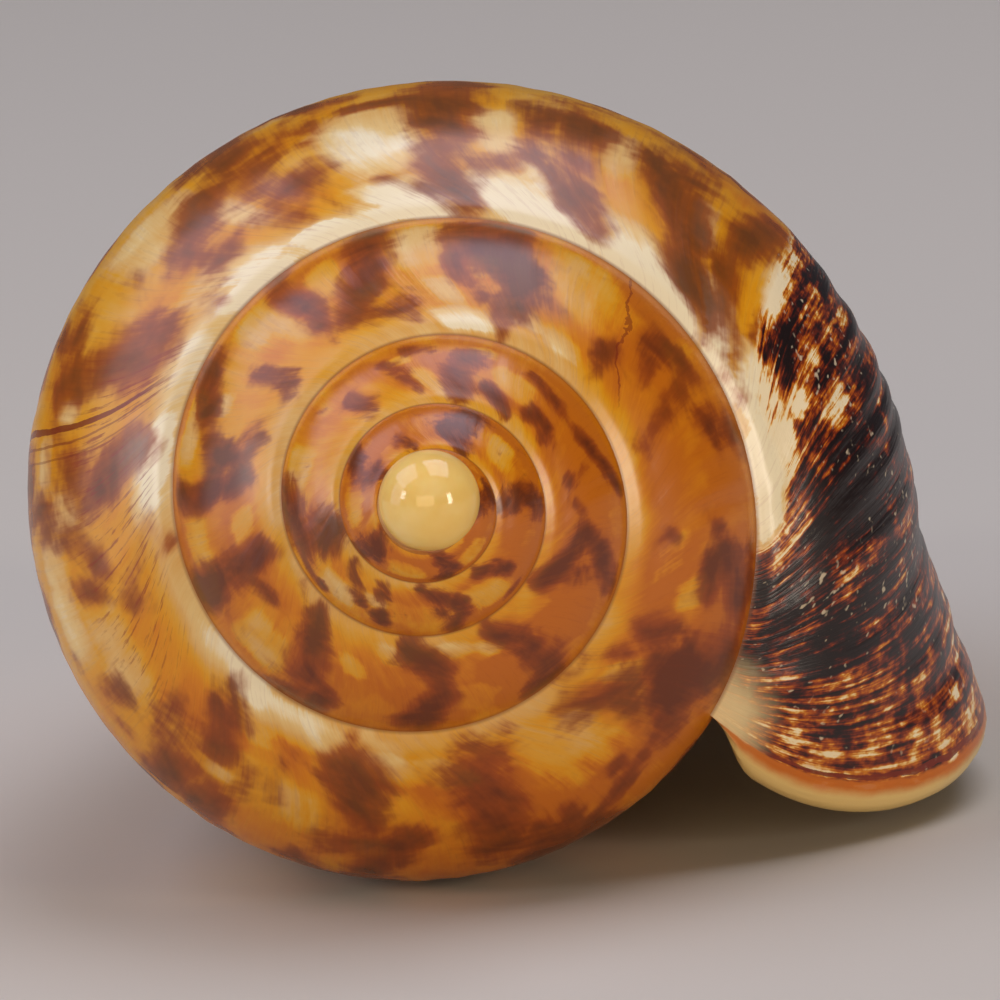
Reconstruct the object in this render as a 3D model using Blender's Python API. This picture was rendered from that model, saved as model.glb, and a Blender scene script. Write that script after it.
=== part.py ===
"""A volute shell: a smooth, heavy sea snail shell with a round bead of a first whorl, a low cone of a spire,
one long last whorl, a flared and thickened outer lip, four folds on the columella and a siphonal notch at the
front end.

It grew as one piece, so it is one solid. The shell is first built about its own coiling axis, with the apex
up (+Z), and is then laid on its opening, the way an empty shell lies on a table.

Two numbers say where something lies on the shell:
  turn   how far along the coil, in whole turns: 0 at the lip, -1 one turn before it, and so on towards the apex
  place  how far down the whorl from its suture: 0 at the suture, 2 where the next turn covers it, 3 at the
         widest part, 7 and over on the columella and the base, 10 at the front end
"""

import math

import bmesh
import bpy
import numpy as np
from mathutils import Matrix, Vector

MM = 0.001

# Driving dimensions, in millimetres, turns and degrees
SUTURE_RADIUS = 23.0  # from the coiling axis to the suture, where the lip joins it
GROWTH = 1.669  # how many times larger the coil is after one turn
SPIRE_DROP = 1.0  # how far the suture drops for each millimetre of its radius
LIP_AZIMUTH = 36.5  # of the lip's upper end, clockwise from +X as seen from the apex
GIRTH = [22.9, 25.3, 27.45, 29.7, 35.1]  # the last whorl's widest radius, at each quarter turn up to the lip
WALL = 1.7  # thickness of the last whorl's wall
LIP_EXTRA = 0.9  # how much thicker the wall is at the lip
LIP_EXTRA_TURNS = 0.1  # how far back from the lip that begins
FLARE_TURNS = 0.068  # how far back from the lip its flare begins
SWEEP_TURNS = 0.3  # how far back from the lip the sweep of its edge fades away
BASE_HASTE = 2.2  # how much sooner the base of the last whorl fills out than its shoulder
BASE_EASE = 0.12  # how gently it sets out from the columella, in turns
BASE_PLACES = (2.0, 6.0)  # the shoulder's ways give over to the base's between these places
FRONT_END = -105.5  # height of the columella's tip, which stays where it is from turn to turn

# The siphonal notch in the front end
NOTCH_DEPTH = 5.5
NOTCH_TURN = -0.3
NOTCH_HALF_WIDTH = 0.12  # in turns
NOTCH_PLACES = (7.0, 10.0)  # it deepens between these

# The whorl's outline: radius and height at turn -1 and at the lip, then how much the point shrinks with the
# coil inside the last whorl (1 fully, 0 not at all), and the flare (mm) and the sweep (degrees) of the lip's edge.
OUTLINE = [
    ((13.78, -13.78), (23.0, -23.0), 1.0, 0.0, 0.0),
    ((19.4, -17.5), (30.2, -27.3), 1.0, 0.2, -1.1),
    ((23.0, -23.0), (34.2, -35.6), 1.0, 4.3, -8.8),
    ((22.9, -28.2), (35.1, -44.6), 1.0, 5.9, -15.5),
    ((21.7, -35.8), (34.7, -53.8), 1.0, 5.6, -17.8),
    ((18.8, -44.8), (33.3, -63.2), 1.0, 4.7, -17.8),
    ((14.2, -54.0), (31.1, -72.4), 1.0, 3.9, -16.8),
    ((10.4, -64.6), (28.0, -81.2), 0.8, 3.2, -15.5),
    ((8.4, -78.0), (24.2, -89.4), 0.5, 2.4, -13.8),
    ((6.6, -92.0), (19.4, -96.8), 0.25, 1.5, -11.5),
    ((4.8, FRONT_END), (13.7, -102.4), 0.0, 0.6, -9.0),
]

# The hollow inside the last whorl
HOLLOW_TOP_PLACE = 2.5  # on the turn before, where the hollow's upper corner runs
HOLLOW_WALL_PLACE = 0.35  # where the outer wall's inner face begins
HOLLOW_END_TURN = -0.92  # how far in it goes
CANAL_END_TURN = -0.5  # the front end is open from the lip back to here
CANAL_OPENING_TURNS = 0.2  # over which it opens to its full width
CANAL_PLACES = (6.0, 10.0)  # before the canal opens, its two sides draw together between these
FLOOR_PLACES = (7.6, 6.4)  # on the columella and on the outer wall, where the hollow's floor ends
FLOOR_EASE = 1.4  # over 1, the floor goes down late on its way to the canal
LIP_ROUND_PLACES = (0.0, 0.6)  # from its suture on, the lip's rim grows to a half round between these

# Folds on the columella
FOLD_HEIGHTS = [-61.5, -67.8, -74.2, -80.6]  # at the lip
FOLD_SIZES = [0.8, 1.1, 1.3, 1.2]
FOLD_HALF_WIDTH = 1.5
FOLD_RISE = 19.0  # in one turn, towards the apex
FOLD_ENDS = (-0.93, -0.78)  # they fade away on the face of the columella between these turns
FOLD_TOP_PLACES = (5.6, 6.8)  # they rise between these
FOLD_FOOT_PLACES = (9.0, 9.6)  # and sink between these

# Fasciole: the band that the notch left behind as the shell grew, which runs up round the base of the columella
FASCIOLE_HEIGHT = 0.9
FASCIOLE_HALF_WIDTH = 0.55  # in places
FASCIOLE_RISE = 2.2  # in places, in one turn
FASCIOLE_START = (-0.98, -0.78)  # it rises between these turns
FASCIOLE_END_TURNS = 0.15  # and sinks over this much before the notch

# The first whorl
BEAD_RADIUS = 3.3
BEAD_CENTRE = (0.0, 0.55, -3.3)
APEX_TURN = -5.0  # deep inside the bead

# Rounded end of the columella
TIP_INSET = 1.1
TIP_DEPTH = 0.7

# How the shell lies: turned about its axis, then raised at the apex
REST_ROLL = 4.2
REST_RAISE = 11.4

# How finely the surface is divided
PER_TURN = 36
ROWS_TO_NEXT_SUTURE = 6
RIM_ROWS = 3
MERGE_DISTANCE = 1e-4  # mm
LAST_NORMAL_PLACE = 9.9  # from here to the front end the surface keeps one direction
ROUNDING = 1e-9
ROWS_BELOW = [(3.0, 1), (6.4, 7), (9.0, 14), (10.0, 3)]  # (down to this place, in so many rows)


def spline_weights(at, count):
    """How much each of count evenly spaced values weighs in the smooth curve through them."""
    bend = np.eye(count)
    pull = np.zeros((count, count))
    for i in range(1, count - 1):
        bend[i, i - 1 : i + 2] = 1.0, 4.0, 1.0
        pull[i, i - 1 : i + 2] = 6.0, -12.0, 6.0
    curvature = np.linalg.solve(bend, pull)
    at = np.clip(at, 0.0, count - 1.0)
    low = np.minimum(at.astype(int), count - 2)
    b = (at - low)[..., None]
    a = 1.0 - b
    value = np.eye(count)
    cubic = (a**3 - a) * curvature[low] + (b**3 - b) * curvature[low + 1]
    return a * value[low] + b * value[low + 1] + cubic / 6.0


def fade(x, start, end):
    """From 0 at start to 1 at end, smoothly."""
    x = np.clip((x - start) / (end - start), 0.0, 1.0)
    return x * x * (3.0 - 2.0 * x)


def girth(turn):
    """Radius of the widest part of the last whorl. Before it, the coil shrinks evenly."""
    earlier = [GIRTH[0] * GROWTH**-0.5, GIRTH[0] * GROWTH**-0.25]
    radii = np.array(earlier + GIRTH)
    return spline_weights(4.0 * turn + 6.0, len(radii)) @ radii


FIRST = np.array([point[0] for point in OUTLINE])
LAST = np.array([point[1] for point in OUTLINE])
LIKE_COIL = np.array([point[2] for point in OUTLINE])
FLARE = np.array([point[3] for point in OUTLINE])
SWEEP = np.array([point[4] for point in OUTLINE])


def outline_points(turn):
    """Radius and height of every point of the outline, at each turn."""
    turn = turn[..., None]
    grown = np.clip(turn + 1.0, 0.0, 1.0)
    lower = 1.0 - (1.0 - (1.0 + BASE_EASE) * grown**2 / (grown + BASE_EASE)) ** BASE_HASTE
    share = grown + fade(np.arange(len(OUTLINE)), *BASE_PLACES) * (lower - grown)
    shrink = GROWTH ** (np.minimum(turn + 1.0, 0.0) * LIKE_COIL)
    width = girth(np.maximum(turn[..., 0], -1.0))[..., None]
    radius = width * (FIRST[:, 0] / GIRTH[0] * (1.0 - share) + LAST[:, 0] / GIRTH[-1] * share) * shrink
    height = -(np.abs(FIRST[:, 1]) ** (1.0 - share)) * np.abs(LAST[:, 1]) ** share * shrink
    radius[..., 0] = SUTURE_RADIUS * GROWTH ** turn[..., 0]
    height[..., 0] = -SPIRE_DROP * radius[..., 0]
    return radius, height


def smooth_whorl(turn, place):
    """Points of the shell's outer surface, without the folds."""
    weights = spline_weights(place, len(OUTLINE))
    swept = (weights @ SWEEP) * fade(turn, -SWEEP_TURNS, 0.0) / 360.0
    radii, heights = outline_points(turn + swept)
    radius = (weights * radii).sum(-1)
    height = (weights * heights).sum(-1)
    radius = radius + (weights @ FLARE) * np.clip(1.0 + turn / FLARE_TURNS, 0.0, 1.0) ** 2
    notch = np.exp(-(((turn - NOTCH_TURN) / NOTCH_HALF_WIDTH) ** 2))
    height = height + NOTCH_DEPTH * notch * fade(place, *NOTCH_PLACES)
    azimuth = np.radians(LIP_AZIMUTH + 360.0 * (turn + swept))
    return np.stack([radius * np.cos(azimuth), -radius * np.sin(azimuth), height], -1)


def normal(turn, place):
    """Unit vectors pointing out of the smooth surface."""
    step = 1e-4
    along = smooth_whorl(turn, place) - smooth_whorl(turn - step, place)
    down = smooth_whorl(turn, place + step) - smooth_whorl(turn, place - step)
    out = np.cross(along, down)
    return out / np.linalg.norm(out, axis=-1, keepdims=True)


def folds(turn, place, height):
    """How far the columella's folds stand out."""
    ridge = np.zeros(turn.shape)
    for at_lip, size in zip(FOLD_HEIGHTS, FOLD_SIZES):
        crest = at_lip - FOLD_RISE * (turn + 1.0)
        ridge += size * np.exp(-(((height - crest) / FOLD_HALF_WIDTH) ** 2))
    ends = fade(place, *FOLD_TOP_PLACES) * (1.0 - fade(place, *FOLD_FOOT_PLACES))
    return ridge * ends * (1.0 - fade(turn, *FOLD_ENDS))


def fasciole(turn, place):
    """How far the fasciole stands out."""
    crest = 10.0 + FASCIOLE_RISE * (turn - NOTCH_TURN)
    ridge = FASCIOLE_HEIGHT * np.exp(-(((place - crest) / FASCIOLE_HALF_WIDTH) ** 2))
    return ridge * fade(turn, *FASCIOLE_START) * (1.0 - fade(turn, NOTCH_TURN - FASCIOLE_END_TURNS, NOTCH_TURN))


def whorl(turn, place):
    """Points of the shell's outer surface. Inside the last whorl this is the columella, with its folds."""
    turn, place = np.broadcast_arrays(np.asarray(turn, float), np.asarray(place, float))
    points = smooth_whorl(turn, place)
    ridges = folds(turn, place, points[..., 2]) + fasciole(turn, place)
    return points + ridges[..., None] * normal(turn, np.minimum(place, LAST_NORMAL_PLACE))


def lining(turn, place):
    """Points of the outer wall's inner face."""
    turn, place = np.broadcast_arrays(np.asarray(turn, float), np.asarray(place, float))
    thickness = WALL + LIP_EXTRA * fade(turn, -LIP_EXTRA_TURNS, 0.0)
    return smooth_whorl(turn, place) - thickness[..., None] * normal(turn, np.minimum(place, LAST_NORMAL_PLACE))


def rows():
    """Places of the rows of points, from the suture to the front end."""
    places = list(np.linspace(0.0, 2.0, ROWS_TO_NEXT_SUTURE + 1))
    places += list(np.linspace(2.0, HOLLOW_TOP_PLACE, RIM_ROWS + 1))[1:]
    for below, count in ROWS_BELOW:
        places += list(np.linspace(places[-1], below, count + 1))[1:]
    return np.array(places)


def columns(start, end):
    """Turns of the columns of points: every one is a whole step from the lip."""
    return np.arange(round(start * PER_TURN), round(end * PER_TURN) + 1) / PER_TURN


def add_sheet(mesh, points):
    """Adds a sheet of four-sided faces over a grid of points."""
    grid = [[mesh.verts.new(point) for point in column] for column in points]
    for left, right in zip(grid, grid[1:]):
        for corners in zip(left, right, right[1:], left[1:]):
            mesh.faces.new(corners)


def rim_strip(outer, inner, bulge):
    """Rows of points for a rounded rim from one edge to the other, which stands out by bulge half way."""
    middle = (outer + inner) / 2.0
    half = (outer - inner) / 2.0
    angles = np.linspace(0.0, math.pi, RIM_ROWS + 1)
    return np.stack([middle + half * math.cos(angle) + bulge * math.sin(angle) for angle in angles], 1)


def unit(vectors):
    return vectors / np.linalg.norm(vectors, axis=-1, keepdims=True)


def half_gap(one, other):
    return np.linalg.norm(one - other, axis=-1, keepdims=True) / 2.0


def hollow_faces(turns, places):
    """The two faces of the hollow: the columella's, on the turn before, and the lining of the outer wall."""
    depth = np.clip((turns - HOLLOW_END_TURN) / (CANAL_END_TURN - HOLLOW_END_TURN), 0.0, 1.0) ** FLOOR_EASE
    inner_floor, outer_floor = ((end + (10.0 - end) * depth)[:, None] for end in FLOOR_PLACES)
    below_top = places[places > HOLLOW_TOP_PLACE - ROUNDING] - HOLLOW_TOP_PLACE
    inner_places = HOLLOW_TOP_PLACE + below_top / below_top[-1] * (inner_floor - HOLLOW_TOP_PLACE)
    inner = whorl((turns - 1.0)[:, None], inner_places)
    outer = lining(turns[:, None], HOLLOW_WALL_PLACE + places / places[-1] * (outer_floor - HOLLOW_WALL_PLACE))
    closed = 1.0 - np.clip((turns - CANAL_END_TURN) / CANAL_OPENING_TURNS, 0.0, 1.0)
    pull = fade(places, *CANAL_PLACES) * closed[:, None]
    outer += pull[..., None] * (inner[:, -1] - outer[:, -1])[:, None]
    outer[:, 0] = inner[:, 0]
    return inner, outer


def rims(last, lining_face, turns, places):
    """The rounded rims of the outer lip and of the front end, which meet in the lip's front corner."""
    forward = unit(last[-1] - last[-2])
    lip_bulge = forward * half_gap(last[-1], lining_face[-1]) * fade(places, *LIP_ROUND_PLACES)[:, None]
    front = turns > CANAL_END_TURN - ROUNDING
    edge = last[-np.count_nonzero(front) :]
    inner_edge = lining_face[front, -1]
    downward = unit(edge[:, -1] - edge[:, -2])
    opened = fade(turns[front], CANAL_END_TURN, CANAL_END_TURN + CANAL_OPENING_TURNS)
    front_bulge = downward * half_gap(edge[:, -1], inner_edge) * opened[:, None]
    corner = unit(forward[-1] + downward[-1]) * half_gap(edge[-1, -1], inner_edge[-1])
    lip_bulge[-1] = corner
    front_bulge[-1] = corner
    lip = rim_strip(last[-1], lining_face[-1], lip_bulge)
    lip[0] = whorl(-1.0, np.linspace(2.0, HOLLOW_TOP_PLACE, RIM_ROWS + 1))
    return lip, rim_strip(edge[:, -1], inner_edge, front_bulge)


def round_tip(mesh):
    """Insets the flat end of the columella and pushes its middle out, so that its rim isn't a sharp corner."""
    many_sided = [face for face in mesh.faces if len(face.verts) > 4]
    tip = min(many_sided, key=lambda face: face.calc_center_median().z)
    bmesh.ops.inset_region(mesh, faces=[tip], thickness=TIP_INSET, depth=TIP_DEPTH)


def shell_mesh():
    """The whole shell but its first whorl, as one closed surface about the coiling axis, in millimetres."""
    mesh = bmesh.new()
    places = rows()
    last = whorl(columns(-1.0, 0.0)[:, None], places)
    turns = columns(HOLLOW_END_TURN, 0.0)
    columella, lining_face = hollow_faces(turns, places)
    add_sheet(mesh, whorl(columns(APEX_TURN, -1.0)[:, None], places[: ROWS_TO_NEXT_SUTURE + 1]))
    for sheet in (last, columella, lining_face, *rims(last, lining_face, turns, places)):
        add_sheet(mesh, sheet)
    bmesh.ops.remove_doubles(mesh, verts=mesh.verts, dist=MERGE_DISTANCE)
    bmesh.ops.holes_fill(mesh, edges=[edge for edge in mesh.edges if edge.is_boundary], sides=0)
    bmesh.ops.recalc_face_normals(mesh, faces=mesh.faces)
    round_tip(mesh)
    return mesh


def lying_down():
    """Turns the shell from its coiling axis to where it lies on its opening, with the apex towards -Y."""
    lay = Matrix.Rotation(math.radians(90.0), 4, "X")
    roll = Matrix.Rotation(math.radians(-REST_ROLL), 4, "Z")
    tip_up = Matrix.Rotation(math.radians(-REST_RAISE), 4, "X")
    return tip_up @ lay @ roll @ Matrix.Scale(MM, 4)


def shell_material():
    material = bpy.data.materials.new("glossy_shell")
    material.use_nodes = True
    surface = material.node_tree.nodes["Principled BSDF"]
    surface.inputs["Base Color"].default_value = (0.42, 0.17, 0.035, 1.0)
    surface.inputs["Roughness"].default_value = 0.22
    surface.inputs["Metallic"].default_value = 0.0
    return material


def first_whorl():
    """The bead that the shell began as, which the spire's first turns run into."""
    bpy.ops.mesh.primitive_uv_sphere_add(segments=28, ring_count=16, radius=BEAD_RADIUS, location=BEAD_CENTRE)
    bead = bpy.context.object
    bead.name = "first_whorl"
    bead.hide_render = True
    bead.display_type = "WIRE"
    return bead


def foot(pieces, pose):
    """The middle of the lying shell's lowest level: its box's centre, at the height of its lowest point."""
    points = np.array([pose @ piece.matrix_basis @ vert.co for piece in pieces for vert in piece.data.vertices])
    centre = (points.min(0) + points.max(0)) / 2.0
    return Vector((centre[0], centre[1], points[:, 2].min()))


def build():
    for old in list(bpy.data.objects):
        bpy.data.objects.remove(old)
    bead = first_whorl()
    data = bpy.data.meshes.new("shell")
    mesh = shell_mesh()
    mesh.to_mesh(data)
    mesh.free()
    shell = bpy.data.objects.new("shell", data)
    bpy.context.collection.objects.link(shell)
    shell.data.materials.append(shell_material())
    bead.data.materials.append(shell.data.materials[0])
    union = shell.modifiers.new("first_whorl", "BOOLEAN")
    union.operation = "UNION"
    union.object = bead
    pose = lying_down()
    place = Matrix.Translation(-foot([shell, bead], pose)) @ pose
    shell.matrix_world = place
    bead.matrix_world = place @ bead.matrix_basis
    shell.data.shade_smooth()


build()
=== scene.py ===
import math
from functools import partial

import bpy
import numpy as np
from mathutils import Matrix, Vector


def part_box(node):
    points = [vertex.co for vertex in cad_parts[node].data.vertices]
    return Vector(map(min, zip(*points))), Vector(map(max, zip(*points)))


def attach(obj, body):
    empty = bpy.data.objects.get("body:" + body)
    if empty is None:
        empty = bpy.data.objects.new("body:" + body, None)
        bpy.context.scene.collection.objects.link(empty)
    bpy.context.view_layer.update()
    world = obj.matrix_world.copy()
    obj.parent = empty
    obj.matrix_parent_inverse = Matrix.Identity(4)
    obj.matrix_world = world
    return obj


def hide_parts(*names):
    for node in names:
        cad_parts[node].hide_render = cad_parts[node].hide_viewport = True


# A volute shell lying on its opening. The frame gives its size and place, and the rest is made here.
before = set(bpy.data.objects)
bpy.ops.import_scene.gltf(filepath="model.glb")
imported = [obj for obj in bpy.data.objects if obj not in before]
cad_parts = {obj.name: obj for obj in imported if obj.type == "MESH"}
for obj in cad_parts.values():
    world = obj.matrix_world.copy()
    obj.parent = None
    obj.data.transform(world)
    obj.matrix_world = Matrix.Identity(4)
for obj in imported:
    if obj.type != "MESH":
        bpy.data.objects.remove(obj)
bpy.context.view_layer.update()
bpy.ops.object.select_all(action="DESELECT")
print("frame loaded:", sorted(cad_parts))

mm = 0.001


# small helpers
def fade(x, start, end):
    x = np.clip((x - start) / (end - start), 0.0, 1.0)
    return x * x * (3.0 - 2.0 * x)


def linearColour(hexCode, alpha=1.0):
    # sRGB hex to the linear values that the shader wants
    channels = [int(hexCode[i : i + 2], 16) / 255.0 for i in (1, 3, 5)]
    linear = [c / 12.92 if c <= 0.04045 else ((c + 0.055) / 1.055) ** 2.4 for c in channels]
    return linear + [alpha]


def between(x, rising, falling):
    return fade(x, *rising) * (1.0 - fade(x, *falling))


def bulge(x, middle, halfWidth):
    return np.exp(-(((x - middle) / halfWidth) ** 2))


def unit(vectors):
    return vectors / np.linalg.norm(vectors, axis=-1, keepdims=True)


def setUp(node, settings=None, links=None):
    # settings set a property, a socket or a ramp's stops; links come from a socket or a node's first output
    for name, value in (settings or {}).items():
        if name == "stops":
            elements = node.color_ramp.elements
            while len(elements) < len(value):
                elements.new(0.5)
            for element, (position, hexCode) in zip(elements, value):
                element.position = position
                element.color = linearColour(hexCode)
        elif isinstance(name, str) and hasattr(node, name):
            setattr(node, name, value)
        else:
            node.inputs[name].default_value = value
    for name, source in (links or {}).items():
        socket = source.outputs[0] if isinstance(source, bpy.types.Node) else source
        node.id_data.links.new(socket, node.inputs[name])
    return node


def addNode(tree, kind, settings=None, links=None):
    return setUp(tree.nodes.new("ShaderNode" + kind), settings, links)


def newMaterial(name):
    # the material, what adds a node to it, and its surface
    material = bpy.data.materials.new(name)
    material.use_nodes = True
    return material, partial(addNode, material.node_tree), material.node_tree.nodes["Principled BSDF"]


def only(thing):
    bpy.ops.object.select_all(action="DESELECT")
    thing.select_set(True)
    bpy.context.view_layer.objects.active = thing


# How the shell grew, in millimetres. A turn is 0 at the lip and -1 one turn before it. A place is 0 at the
# suture, 2 where the next turn covers the whorl, 3 at its widest, over 7 on the base, 10 at the front end.
coil = {
    "sutureRadius": 23.0,
    "growth": 1.669,
    "spireDrop": 1.0,  # how far the suture falls for each millimetre outwards
    # growth lines run ahead near the suture by so many turns, down to this place, and less near the lip
    "lineLead": 0.055,
    "lineLeadPlace": 0.6,
    "lineLeadTurns": 0.04,
    # how far the suture runs off that even coil at each quarter turn from suturesFrom on
    "suturesFrom": -3.35,
    "sutureOffsets": [
        -0.26, -0.33, -0.55, -0.26, -0.07, -0.29, -0.62, -0.49, -0.16, -0.2, -0.29, -0.03, -0.07, -0.36, -0.2,
    ],
    "evenTurns": (-0.08, 0.0),  # it is even again at the lip
    "lipAzimuth": 36.5,
    "girth": [22.9, 25.3, 27.45, 29.7, 35.1],  # the widest radius at each quarter turn, from -1 to the lip
    "wall": 1.7,
    "lipExtra": 0.9,  # how much thicker the lip is
    "lipExtraTurns": 0.1,
    "flareTurns": 0.068,
    "sweepTurns": 0.3,
    # below these places the outline widens sooner in the last turn
    "basePlaces": (2.0, 6.0),
    "baseHaste": 2.2,
    "baseEase": 0.12,
    "notchDepth": 5.5,
    "notchTurn": -0.3,
    "notchHalfWidth": 0.12,
    "notchPlaces": (7.0, 10.0),
    # radius and height at turn -1, the same at the lip, how much it shrinks with the coil, the lip's flare,
    # and its sweep in degrees
    "outline": [
        ((13.78, -13.78), (23.0, -23.0), 1.0, 0.0, 0.0),
        ((19.4, -17.5), (30.2, -27.3), 1.0, 0.2, -1.1),
        ((23.0, -23.0), (34.2, -35.6), 1.0, 4.3, -8.8),
        ((22.9, -28.2), (35.1, -44.6), 1.0, 5.9, -15.5),
        ((21.7, -35.8), (34.7, -53.8), 1.0, 5.6, -17.8),
        ((18.8, -44.8), (33.3, -63.2), 1.0, 4.7, -17.8),
        ((14.2, -54.0), (31.1, -72.4), 1.0, 3.9, -16.8),
        ((10.4, -64.6), (28.0, -81.2), 0.8, 3.2, -15.5),
        ((8.4, -78.0), (24.2, -89.4), 0.5, 2.4, -13.8),
        ((6.6, -92.0), (19.4, -96.8), 0.25, 1.5, -11.5),
        ((4.8, -105.5), (13.7, -102.4), 0.0, 0.6, -9.0),
    ],
}

hollow = {
    "topPlace": 2.5,
    "wallPlace": 0.35,
    "endTurn": -0.92,
    "canalEndTurn": -0.5,
    "canalOpening": 0.2,
    "canalPlaces": (6.0, 10.0),
    "floorPlaces": (7.6, 6.4),
    "floorEase": 1.4,
    "lipRoundPlaces": (0.0, 0.6),
}

folds = {
    "heights": [-61.5, -67.8, -74.2, -80.6],
    "sizes": [0.8, 1.1, 1.3, 1.2],
    "halfWidth": 1.5,
    "rise": 19.0,
    "ends": (-0.93, -0.78),
    "topPlaces": (5.6, 6.8),
    "footPlaces": (9.0, 9.6),
}

fasciole = {
    "height": 0.9,
    "halfWidth": 0.55,
    "rise": 2.2,
    "start": (-0.98, -0.78),
    "end": (-0.45, -0.3),
}

outline = coil["outline"]
first, last = (np.array([point[i] for point in outline]) for i in (0, 1))
likeCoil, lipFlare, lipSweep = (np.array([point[i] for point in outline]) for i in (2, 3, 4))


def splineWeights(at, count):
    # how much each of count values weighs on a natural cubic spline through them
    bend, pull = np.eye(count), np.zeros((count, count))
    for i in range(1, count - 1):
        bend[i, i - 1 : i + 2] = 1.0, 4.0, 1.0
        pull[i, i - 1 : i + 2] = 6.0, -12.0, 6.0
    curvature = np.linalg.solve(bend, pull)
    at = np.clip(at, 0.0, count - 1.0)
    low = np.minimum(at.astype(int), count - 2)
    b = (at - low)[..., None]
    a = 1.0 - b
    value = np.eye(count)
    bent = (a**3 - a) * curvature[low] + (b**3 - b) * curvature[low + 1]
    return a * value[low] + b * value[low + 1] + bent / 6.0


def sutureShare(turn):
    offsets = np.array(coil["sutureOffsets"])
    offset = splineWeights(4.0 * (turn - coil["suturesFrom"]), len(offsets)) @ offsets
    even = fade(turn, *coil["evenTurns"])
    return 1.0 + offset * (1.0 - even) / (coil["sutureRadius"] * coil["growth"] ** turn)


def outlineAt(turn):
    girth = coil["girth"]
    radii = np.array([girth[0] * coil["growth"] ** -0.5, girth[0] * coil["growth"] ** -0.25] + girth)
    width = splineWeights(4.0 * np.maximum(turn, -1.0) + 6.0, len(radii)) @ radii
    grown = np.clip(turn + 1.0, 0.0, 1.0)[..., None]
    ease = coil["baseEase"]
    lower = 1.0 - (1.0 - (1.0 + ease) * grown**2 / (grown + ease)) ** coil["baseHaste"]
    share = grown + fade(np.arange(len(outline)), *coil["basePlaces"]) * (lower - grown)
    shrink = coil["growth"] ** (np.minimum(turn + 1.0, 0.0)[..., None] * likeCoil)
    slimness = first[:, 0] / girth[0] * (1.0 - share) + last[:, 0] / girth[-1] * share
    radius = width[..., None] * slimness * shrink
    height = -(np.abs(first[:, 1]) ** (1.0 - share)) * np.abs(last[:, 1]) ** share * shrink
    radius[..., 0] = coil["sutureRadius"] * coil["growth"] ** turn
    height[..., 0] = -coil["spireDrop"] * radius[..., 0]
    # the first three places follow the suture above and the one below
    here = sutureShare(turn)
    below = np.where(turn <= -1.0, sutureShare(turn + 1.0), 1.0)
    for i, share in enumerate((here, np.sqrt(here * below), below)):
        radius[..., i] *= share
        height[..., i] *= share
    return radius, height


def smoothWhorl(turn, place):
    weights = splineWeights(place, len(outline))
    swept = (weights @ lipSweep) * fade(turn, -coil["sweepTurns"], 0.0) / 360.0
    radii, heights = outlineAt(turn + swept)
    flared = np.clip(1.0 + turn / coil["flareTurns"], 0.0, 1.0) ** 2
    radius = (weights * radii).sum(-1) + (weights @ lipFlare) * flared
    height = (weights * heights).sum(-1)
    notch = bulge(turn, coil["notchTurn"], coil["notchHalfWidth"])
    height = height + coil["notchDepth"] * notch * fade(place, *coil["notchPlaces"])
    azimuth = np.radians(coil["lipAzimuth"] + 360.0 * (turn + swept))
    return np.stack([radius * np.cos(azimuth), -radius * np.sin(azimuth), height], -1)


def outward(turn, place):
    place = np.minimum(place, 9.9)
    step = 1e-4
    along = smoothWhorl(turn, place) - smoothWhorl(turn - step, place)
    down = smoothWhorl(turn, place + step) - smoothWhorl(turn, place - step)
    return unit(np.cross(along, down))


def growthLine(turn, place):
    # the turn less what a growth line runs ahead, so it is the same all along a growth line
    ahead = coil["lineLead"] * np.exp(-((np.maximum(place, 0.0) / coil["lineLeadPlace"]) ** 1.4))
    return turn - ahead * (1.0 - np.exp(np.minimum(turn, 0.0) / coil["lineLeadTurns"]))


# fine relief: the narrow cord under each suture, growth ripples, and the steps where growth once stopped
relief = {
    "cordHeight": 0.16,
    "cordPlace": 0.17,
    "cordHalfWidth": 0.11,
    "troughDepth": 0.10,
    "troughHalfWidth": 0.14,
    "rippleCount": 26,
    "ripplesPerTurn": (14.0, 95.0),
    "rippleHeight": 0.030,
    "roughHeight": 0.055,
    "roughTurns": (-0.26, -0.14),
    # where growth stopped for a while and left a step: moment, height, half width in turns
    "rests": [
        (-0.565, 0.10, 0.006), (-1.232, 0.09, 0.006), (-1.176, 0.05, 0.008), (-0.075, 0.10, 0.005),
        (-0.022, 0.12, 0.004),
    ],
    "restTurns": 0.03,  # how far back a step fades out
    "evenEdge": 0.012,  # the very edge of the lip has no ripples, in turns
    "seed": 7,
}


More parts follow.
